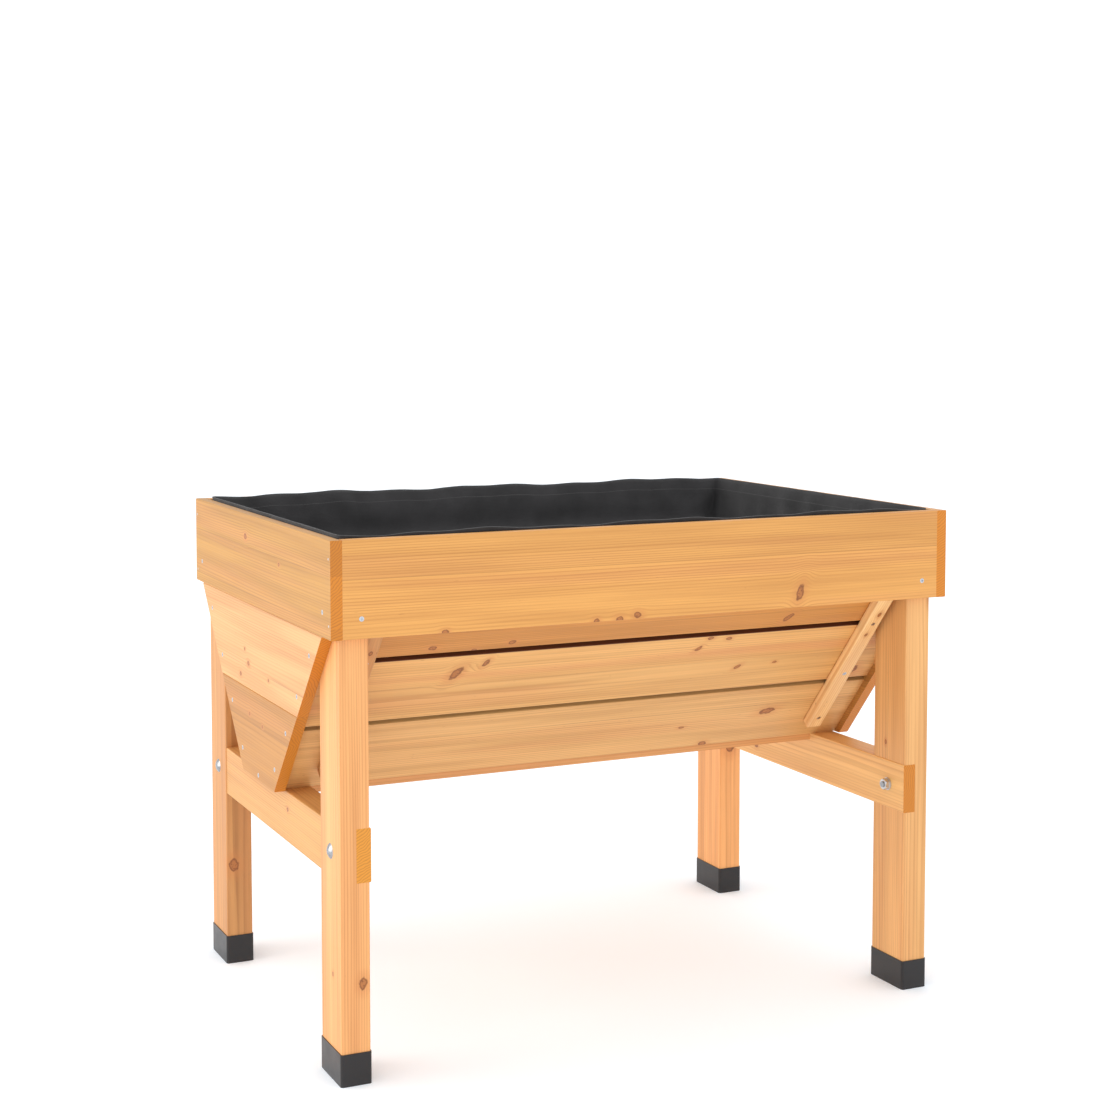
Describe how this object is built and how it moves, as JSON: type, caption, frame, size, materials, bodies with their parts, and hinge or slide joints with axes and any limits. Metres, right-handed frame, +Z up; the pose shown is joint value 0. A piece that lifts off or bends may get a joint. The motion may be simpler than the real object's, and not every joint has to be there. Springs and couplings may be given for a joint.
{
  "type": "raised planter",
  "caption": "Raised wooden planter on legs: a V-shaped slatted trough with an upright board rim, fabric-lined, on a bolted frame with plastic foot caps.",
  "frame": {"origin": "middle of the footprint, on the ground", "axes": "+X along the trough, the front faces -Y, +Z up"},
  "size_m": [1.06, 0.73, 0.8],
  "materials": {
    "leg_timber": "planed timber with a clear satin stain",
    "rail_timber": "planed timber with a clear satin stain",
    "rim_board_wood": "planed board with a clear satin stain",
    "panel_wood": "planed board with a clear satin stain",
    "slat_wood": "planed board with a clear satin stain",
    "batten_wood": "planed batten with a clear satin stain",
    "floor_wood": "planed board with a clear satin stain",
    "foot_plastic": "moulded, fine matt texture",
    "liner_fabric": "black non-woven fabric",
    "bolt_zinc": "bright zinc plating",
    "screw_zinc": "bright zinc plating"
  },
  "bodies": {
    "root": {"front_left_leg": "leg_timber", "front_right_leg": "leg_timber", "rear_left_leg": "leg_timber", "rear_right_leg": "leg_timber", "front_left_foot_cap": "foot_plastic", "front_right_foot_cap": "foot_plastic", "rear_left_foot_cap": "foot_plastic", "rear_right_foot_cap": "foot_plastic", "left_cross_rail": "rail_timber", "right_cross_rail": "rail_timber", "front_rim_board": "rim_board_wood", "rear_rim_board": "rim_board_wood", "left_rim_board": "rim_board_wood", "right_rim_board": "rim_board_wood", "left_panel_upper": "panel_wood", "left_panel_lower": "panel_wood", "right_panel_upper": "panel_wood", "right_panel_lower": "panel_wood", "front_slat_low": "slat_wood", "front_slat_middle": "slat_wood", "front_slat_top": "slat_wood", "rear_slat_low": "slat_wood", "rear_slat_middle": "slat_wood", "rear_slat_top": "slat_wood", "front_left_batten": "batten_wood", "front_right_batten": "batten_wood", "rear_left_batten": "batten_wood", "rear_right_batten": "batten_wood", "left_floor_cleat": "floor_wood", "right_floor_cleat": "floor_wood", "floor_board": "floor_wood", "liner": "liner_fabric", "frame_bolts": "bolt_zinc", "bolt_washers": "bolt_zinc", "frame_nuts": "bolt_zinc", "rim_screws": "screw_zinc", "panel_screws": "screw_zinc", "batten_screws": "screw_zinc", "floor_screws": "screw_zinc", "cleat_screws": "screw_zinc", "rim_nails": "screw_zinc"}
  },
  "joints": []
}
